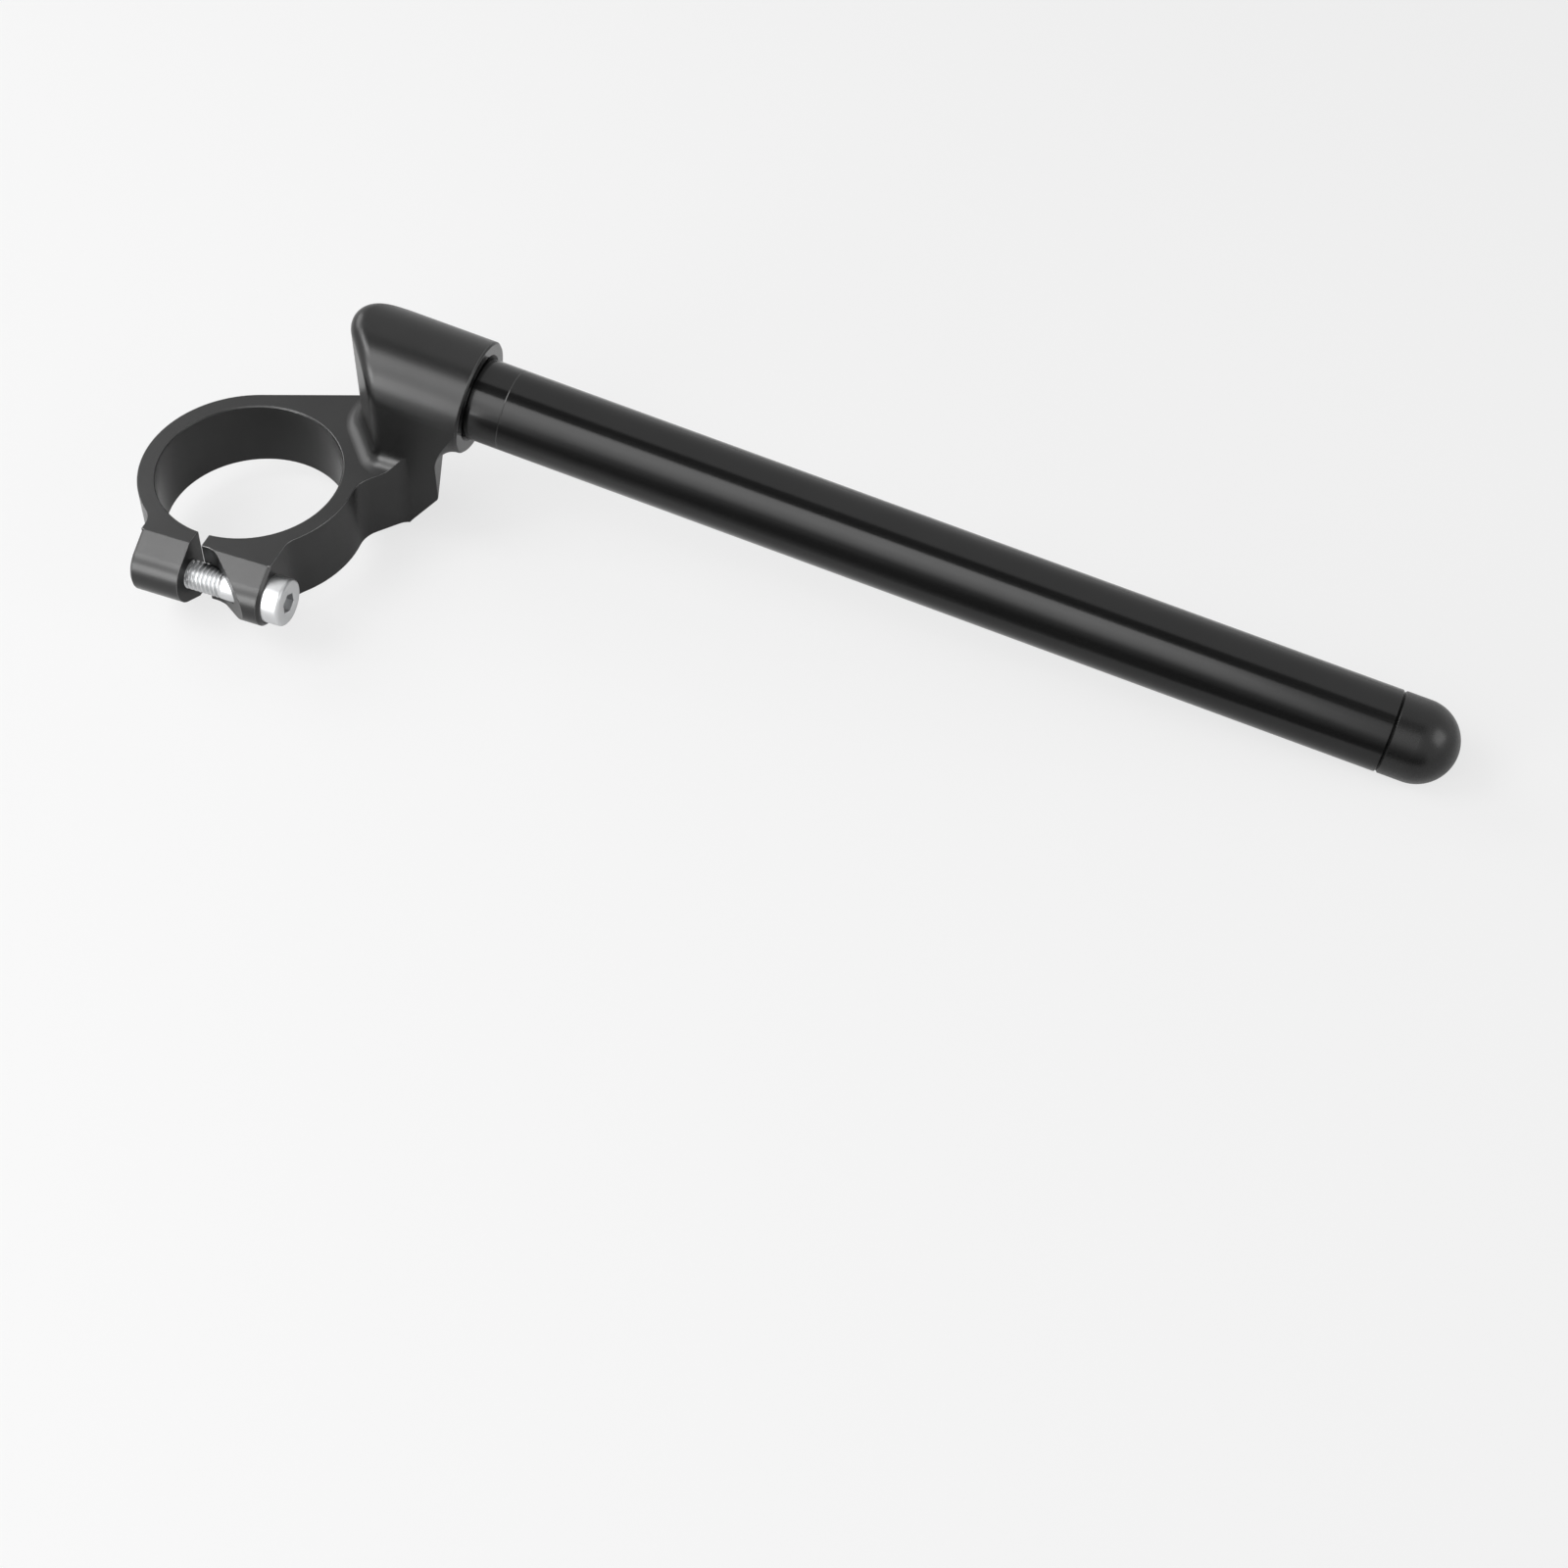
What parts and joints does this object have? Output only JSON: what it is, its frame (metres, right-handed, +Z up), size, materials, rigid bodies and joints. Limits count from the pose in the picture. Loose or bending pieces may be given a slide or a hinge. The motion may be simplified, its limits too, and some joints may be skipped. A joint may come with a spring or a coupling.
{
  "type": "clip-on handlebar",
  "caption": "Clip-on handlebar: a split ring clamps a motorcycle fork tube, and a raised arm carries a straight, slightly drooping bar with a domed end plug.",
  "frame": {"origin": "centre of the fork bore at the ring's mid-height", "axes": "+Z up along the fork tube, +X along the clamp bolt towards the bar, the ring's slot towards -Y"},
  "size_m": [0.3528, 0.088, 0.0657],
  "materials": {
    "anodised_body": "black anodised, fine bead-blasted satin",
    "anodised_bar": "black anodised, smooth",
    "plug_plastic": "moulded satin black",
    "bolt_zinc": "bright zinc plated"
  },
  "bodies": {
    "root": {"clamp_body": "anodised_body", "bar_tube": "anodised_bar", "end_plug": "plug_plastic", "clamp_bolt": "bolt_zinc"}
  },
  "joints": []
}
